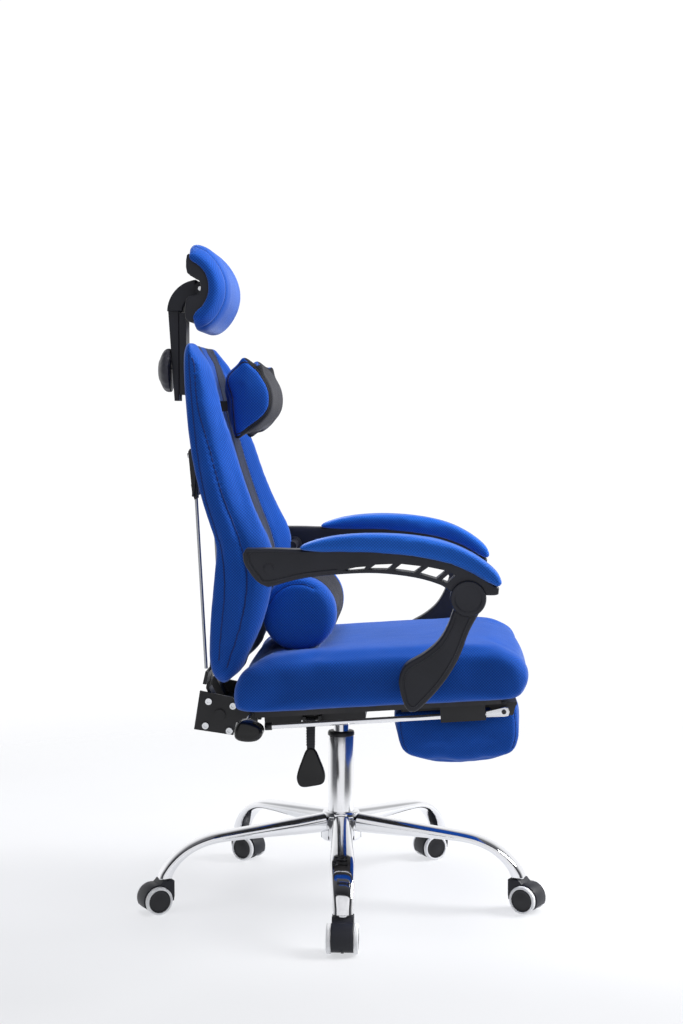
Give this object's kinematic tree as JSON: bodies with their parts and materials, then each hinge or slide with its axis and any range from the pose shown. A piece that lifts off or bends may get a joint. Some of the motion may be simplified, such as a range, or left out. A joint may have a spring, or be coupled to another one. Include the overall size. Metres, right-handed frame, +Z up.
{
  "type": "gaming chair",
  "caption": "High-back gaming chair on a castor base with gas lift, reclining back, adjustable headrest, linked padded armrests, pillows and a slide-out footrest.",
  "frame": {"origin": "on the floor, under the middle of the chair's bounding box", "axes": "+X is the way the sitter faces, +Y is the sitter's left, +Z is up"},
  "size_m": [0.7352, 0.6992, 1.194],
  "materials": {
    "chrome": "polished",
    "black_steel": "satin black powder coat",
    "grey_steel": "zinc plated",
    "black_plastic": "fine moulded texture",
    "black_nylon": "smooth",
    "blue_mesh": "woven air mesh over foam",
    "charcoal_mesh": "woven air mesh over foam",
    "plywood": "ply stained black",
    "grey_tread": "soft grey tread"
  },
  "bodies": {
    "base": {"star_hub": "chrome", "base_leg_1": "chrome", "base_leg_2": "chrome", "base_leg_3": "chrome", "base_leg_4": "chrome", "base_leg_5": "chrome", "column_tube": "chrome", "column_sleeve": "black_nylon", "thrust_bearing": "grey_steel"},
    "spindle": {"gas_rod": "grey_steel"},
    "seat_frame": {"gas_cylinder": "chrome", "mechanism_housing": "black_steel", "seat_board": "plywood", "seat_cushion": "blue_mesh", "recline_bracket": "black_steel", "hinge_axle": "grey_steel", "rail_sleeve_left": "black_steel", "rail_sleeve_right": "black_steel"},
    "height_lever": {"height_lever": "black_plastic"},
    "recline_lever": {"recline_lever": "black_plastic"},
    "back": {"back_frame": "black_steel", "back_cushion": "blue_mesh", "rear_rod_left": "grey_steel", "rear_rod_right": "grey_steel", "rod_bracket": "black_steel", "post_guide": "black_plastic", "neck_pillow": "charcoal_mesh", "lumbar_pillow": "charcoal_mesh"},
    "headrest_post": {"headrest_post": "black_plastic"},
    "headrest_knob": {"headrest_knob": "black_plastic"},
    "headrest": {"headrest_shell": "black_plastic", "headrest_pad": "blue_mesh"},
    "arm_leg_left": {"arm_leg_left": "black_plastic"},
    "arm_leg_right": {"arm_leg_right": "black_plastic"},
    "arm_left": {"arm_frame_left": "black_plastic", "arm_pad_left": "blue_mesh"},
    "arm_right": {"arm_frame_right": "black_plastic", "arm_pad_right": "blue_mesh"},
    "footrest_rails": {"footrest_rail_left": "chrome", "footrest_rail_right": "chrome"},
    "footrest_panel": {"footrest_board": "plywood", "footrest_pad": "blue_mesh"},
    "caster_1": {"caster_yoke_1": "black_plastic"},
    "wheel_1_left": {"wheel_1_left": "grey_tread"},
    "wheel_1_right": {"wheel_1_right": "grey_tread"},
    "caster_2": {"caster_yoke_2": "black_plastic"},
    "wheel_2_left": {"wheel_2_left": "grey_tread"},
    "wheel_2_right": {"wheel_2_right": "grey_tread"},
    "caster_3": {"caster_yoke_3": "black_plastic"},
    "wheel_3_left": {"wheel_3_left": "grey_tread"},
    "wheel_3_right": {"wheel_3_right": "grey_tread"},
    "caster_4": {"caster_yoke_4": "black_plastic"},
    "wheel_4_left": {"wheel_4_left": "grey_tread"},
    "wheel_4_right": {"wheel_4_right": "grey_tread"},
    "caster_5": {"caster_yoke_5": "black_plastic"},
    "wheel_5_left": {"wheel_5_left": "grey_tread"},
    "wheel_5_right": {"wheel_5_right": "grey_tread"}
  },
  "joints": [
    {"name": "seat_swivel", "type": "hinge", "parent": "base", "child": "spindle", "pos_m": [-0.00614, 0.02962, 0.11], "axis": [0, 0, 1], "continuous": true},
    {"name": "seat_height", "type": "slide", "parent": "spindle", "child": "seat_frame", "axis": [0, 0, 1], "range_m": [0, 0.08]},
    {"name": "height_lever_pull", "type": "hinge", "parent": "seat_frame", "child": "height_lever", "pos_m": [-0.05114, -0.06938, 0.342], "axis": [-1, 0, 0], "range_deg": [0, 12], "stiffness_Nm_per_rad": 0.6},
    {"name": "recline_lever_lift", "type": "hinge", "parent": "seat_frame", "child": "recline_lever", "pos_m": [-0.16414, -0.07038, 0.351], "axis": [0, -1, 0], "range_deg": [0, 12], "stiffness_Nm_per_rad": 0.6},
    {"name": "back_recline", "type": "hinge", "parent": "seat_frame", "child": "back", "pos_m": [-0.22014, 0.02962, 0.35], "axis": [0, -1, 0], "range_deg": [0, 35]},
    {"name": "arm_leg_hinge_left", "type": "hinge", "parent": "seat_frame", "child": "arm_leg_left", "pos_m": [0.12186, 0.28962, 0.414], "axis": [0, -1, 0], "range_deg": [0, 54.4]},
    {"name": "arm_hub_hinge_left", "type": "hinge", "parent": "arm_leg_left", "child": "arm_left", "pos_m": [0.21986, 0.31462, 0.585], "axis": [0, -1, 0], "range_deg": [-53.9, 0]},
    {"name": "arm_leg_hinge_right", "type": "hinge", "parent": "seat_frame", "child": "arm_leg_right", "pos_m": [0.12186, -0.23038, 0.414], "axis": [0, -1, 0], "range_deg": [0, 54.4]},
    {"name": "arm_hub_hinge_right", "type": "hinge", "parent": "arm_leg_right", "child": "arm_right", "pos_m": [0.21986, -0.25538, 0.585], "axis": [0, -1, 0], "range_deg": [-53.9, 0]},
    {"name": "headrest_height", "type": "slide", "parent": "back", "child": "headrest_post", "axis": [0, 0, 1], "range_m": [0, 0.04]},
    {"name": "headrest_tilt", "type": "hinge", "parent": "headrest_post", "child": "headrest", "pos_m": [-0.26014, 0.02962, 1.117], "axis": [0, -1, 0], "range_deg": [-5, 20]},
    {"name": "headrest_knob_turn", "type": "hinge", "parent": "back", "child": "headrest_knob", "pos_m": [-0.31614, 0.02962, 0.97], "axis": [-1, 0, 0], "range_deg": [0, 180]},
    {"name": "footrest_slide", "type": "slide", "parent": "seat_frame", "child": "footrest_rails", "axis": [0.9978, 0, 0.0663], "range_m": [0, 0.28]},
    {"name": "footrest_flip", "type": "hinge", "parent": "footrest_rails", "child": "footrest_panel", "pos_m": [0.28521, 0.02962, 0.37529], "axis": [0, -1, 0], "range_deg": [0, 180]},
    {"name": "caster_swivel_1", "type": "hinge", "parent": "base", "child": "caster_1", "pos_m": [0.01373, -0.30479, 0.06], "axis": [0, 0, 1], "continuous": true},
    {"name": "wheel_spin_1_left", "type": "hinge", "parent": "caster_1", "child": "wheel_1_left", "pos_m": [0.01373, -0.32279, 0.025], "axis": [1, 0, 0], "continuous": true},
    {"name": "wheel_spin_1_right", "type": "hinge", "parent": "caster_1", "child": "wheel_1_right", "pos_m": [0.01373, -0.32279, 0.025], "axis": [1, 0, 0], "continuous": true},
    {"name": "caster_swivel_2", "type": "hinge", "parent": "base", "child": "caster_2", "pos_m": [0.31804, -0.05482, 0.06], "axis": [0, 0, 1], "continuous": true},
    {"name": "wheel_spin_2_left", "type": "hinge", "parent": "caster_2", "child": "wheel_2_left", "pos_m": [0.33363, -0.06382, 0.025], "axis": [0.5, 0.866, 0], "continuous": true},
    {"name": "wheel_spin_2_right", "type": "hinge", "parent": "caster_2", "child": "wheel_2_right", "pos_m": [0.33363, -0.06382, 0.025], "axis": [0.5, 0.866, 0], "continuous": true},
    {"name": "caster_swivel_3", "type": "hinge", "parent": "base", "child": "caster_3", "pos_m": [0.17435, 0.31185, 0.06], "axis": [0, 0, 1], "continuous": true},
    {"name": "wheel_spin_3_left", "type": "hinge", "parent": "caster_3", "child": "wheel_3_left", "pos_m": [0.15876, 0.30285, 0.025], "axis": [0.5, -0.866, 0], "continuous": true},
    {"name": "wheel_spin_3_right", "type": "hinge", "parent": "caster_3", "child": "wheel_3_right", "pos_m": [0.15876, 0.30285, 0.025], "axis": [0.5, -0.866, 0], "continuous": true},
    {"name": "caster_swivel_4", "type": "hinge", "parent": "base", "child": "caster_4", "pos_m": [-0.21877, 0.28849, 0.06], "axis": [0, 0, 1], "continuous": true},
    {"name": "wheel_spin_4_left", "type": "hinge", "parent": "caster_4", "child": "wheel_4_left", "pos_m": [-0.20319, 0.27949, 0.025], "axis": [0.5, 0.866, 0], "continuous": true},
    {"name": "wheel_spin_4_right", "type": "hinge", "parent": "caster_4", "child": "wheel_4_right", "pos_m": [-0.20319, 0.27949, 0.025], "axis": [0.5, 0.866, 0], "continuous": true},
    {"name": "caster_swivel_5", "type": "hinge", "parent": "base", "child": "caster_5", "pos_m": [-0.31804, -0.09261, 0.06], "axis": [0, 0, 1], "continuous": true},
    {"name": "wheel_spin_5_left", "type": "hinge", "parent": "caster_5", "child": "wheel_5_left", "pos_m": [-0.33363, -0.10161, 0.025], "axis": [0.5, -0.866, 0], "continuous": true},
    {"name": "wheel_spin_5_right", "type": "hinge", "parent": "caster_5", "child": "wheel_5_right", "pos_m": [-0.33363, -0.10161, 0.025], "axis": [0.5, -0.866, 0], "continuous": true}
  ],
  "couplings": [
    {"joint": "arm_leg_hinge_left", "follows": "back_recline", "ratio": 1.552},
    {"joint": "arm_hub_hinge_left", "follows": "back_recline", "ratio": -1.538},
    {"joint": "arm_leg_hinge_right", "follows": "back_recline", "ratio": 1.552},
    {"joint": "arm_hub_hinge_right", "follows": "back_recline", "ratio": -1.538},
    {"joint": "footrest_flip", "follows": "footrest_slide", "rad_per_m": 11.21}
  ]
}
